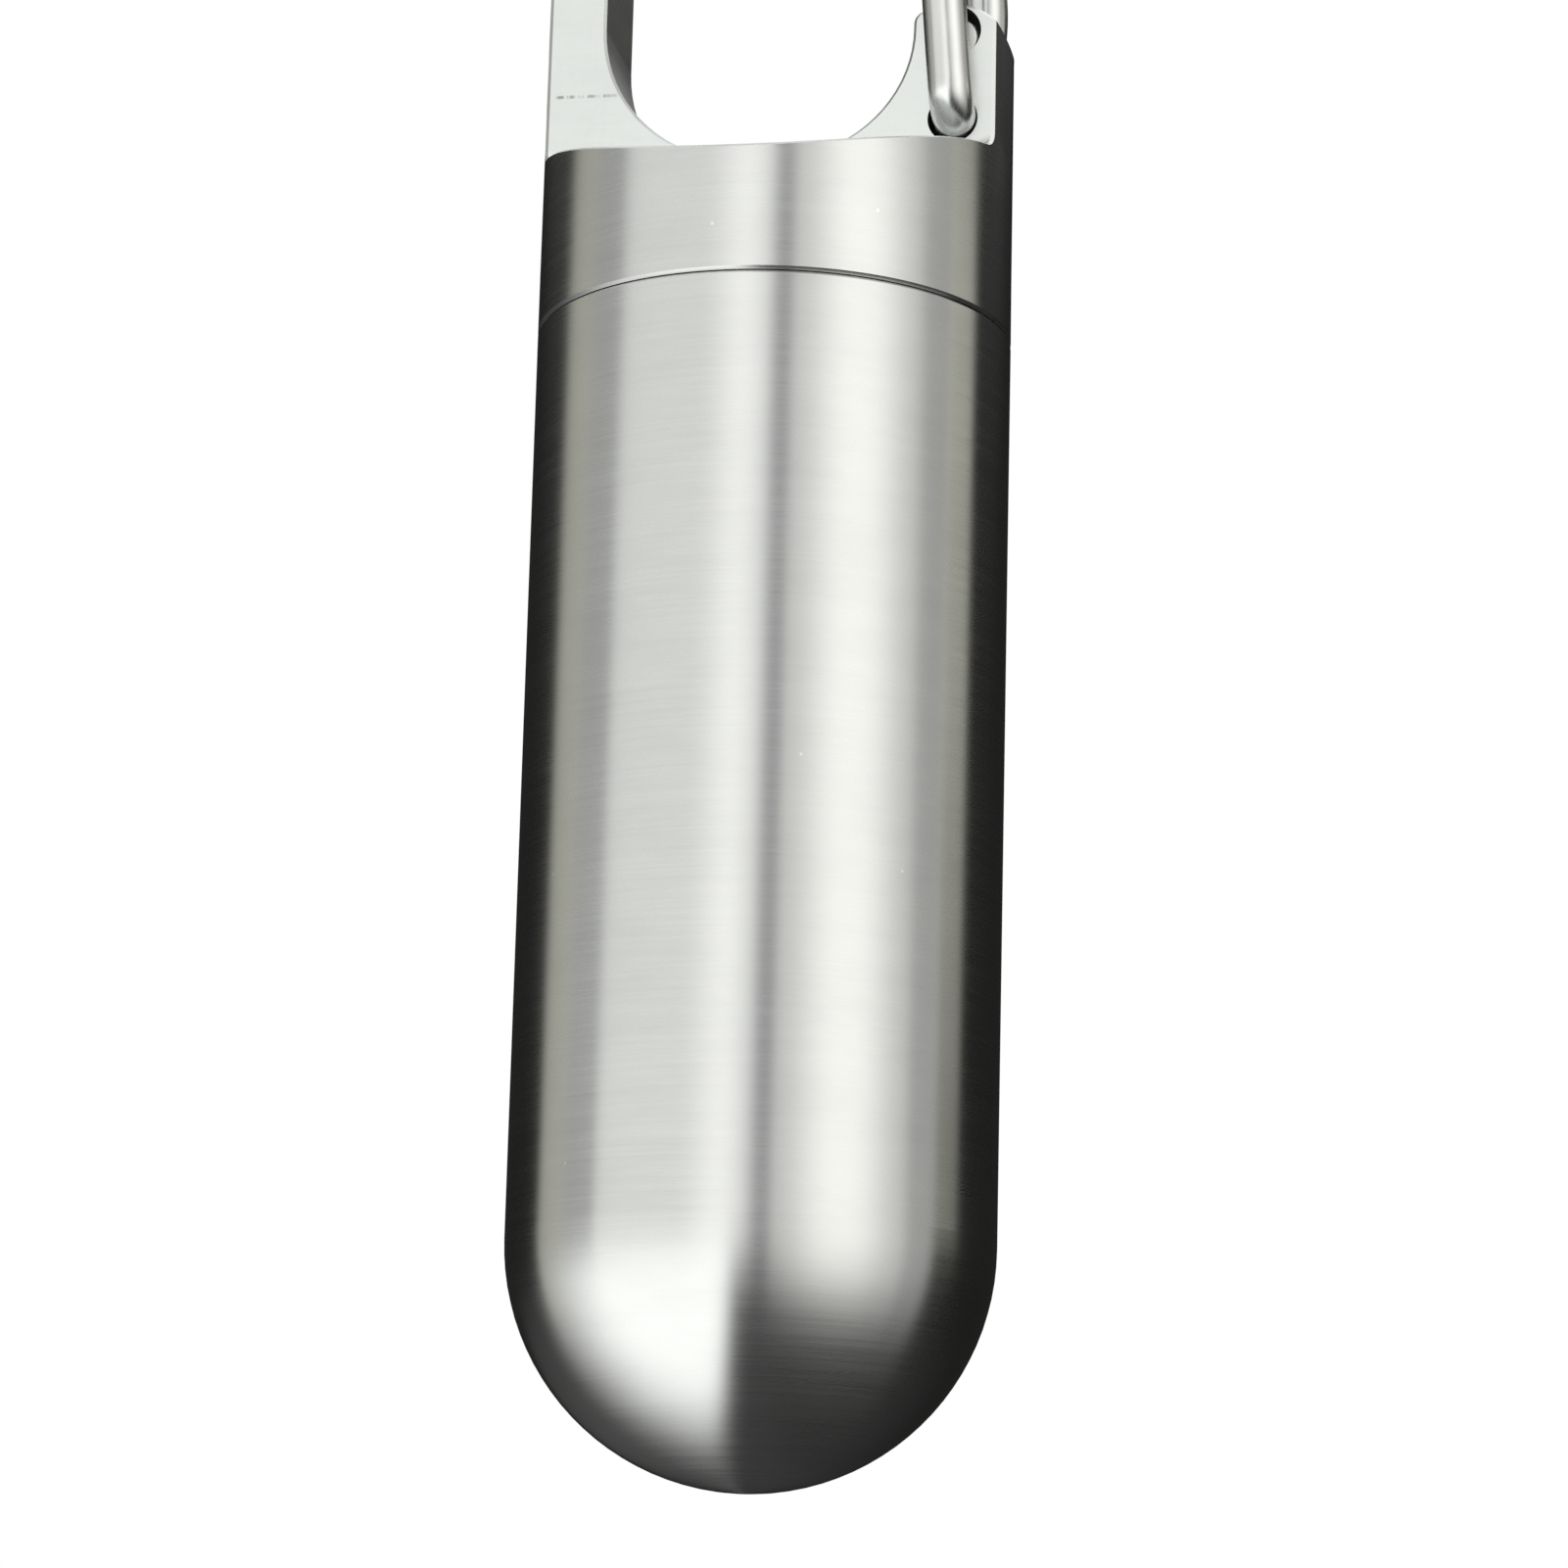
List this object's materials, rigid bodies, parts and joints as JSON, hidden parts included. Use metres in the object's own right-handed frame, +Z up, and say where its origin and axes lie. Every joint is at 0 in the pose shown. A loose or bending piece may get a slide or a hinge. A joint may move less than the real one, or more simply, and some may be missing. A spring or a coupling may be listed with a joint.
{
  "type": "screw-top keychain capsule",
  "caption": "Slim round-ended steel capsule with a screw-on lid whose milled loop has a sprung wire gate for clipping to a ring.",
  "frame": {"origin": "tip of the capsule's dome, on the turning axis", "axes": "+Z up the turning axis from the dome to the loop, +X towards the loop's gate, -Y out of the loop's front face"},
  "size_m": [0.02, 0.02, 0.0882],
  "materials": {
    "body_steel": "turned stainless steel, finely brushed round the axis",
    "lid_steel": "turned and milled stainless steel, satin on the flat faces",
    "seal_rubber": "black nitrile rubber",
    "gate_wire": "drawn stainless spring wire, lightly polished"
  },
  "bodies": {
    "lid": {"lid": "lid_steel"},
    "seal": {"seal_ring": "seal_rubber"},
    "capsule": {"capsule_body": "body_steel"},
    "gate_front": {"gate_wire_front": "gate_wire"},
    "gate_rear": {"gate_wire_rear": "gate_wire"}
  },
  "joints": [
    {"name": "unscrew_turn", "type": "hinge", "parent": "lid", "child": "seal", "pos_m": [0, 0, 0.0483], "axis": [0, 0, -1], "range_deg": [0, 1620]},
    {"name": "unscrew_travel", "type": "slide", "parent": "seal", "child": "capsule", "axis": [0, 0, -1], "range_m": [0, 0.00562]},
    {"name": "gate_pivot", "type": "hinge", "parent": "lid", "child": "gate_front", "pos_m": [0.00792, 0, 0.05712], "axis": [0, -1, 0], "range_deg": [0, 15], "stiffness_Nm_per_rad": 0.15, "springref_deg": -5.73},
    {"name": "gate_twist", "type": "hinge", "parent": "gate_front", "child": "gate_rear", "pos_m": [0.00675, 0, 0.0723], "axis": [0, -1, 0], "range_deg": [0, 4.5]}
  ],
  "couplings": [
    {"joint": "unscrew_turn", "follows": "unscrew_travel", "rad_per_m": 5026.5},
    {"joint": "gate_twist", "follows": "gate_pivot", "ratio": 0.2975}
  ]
}
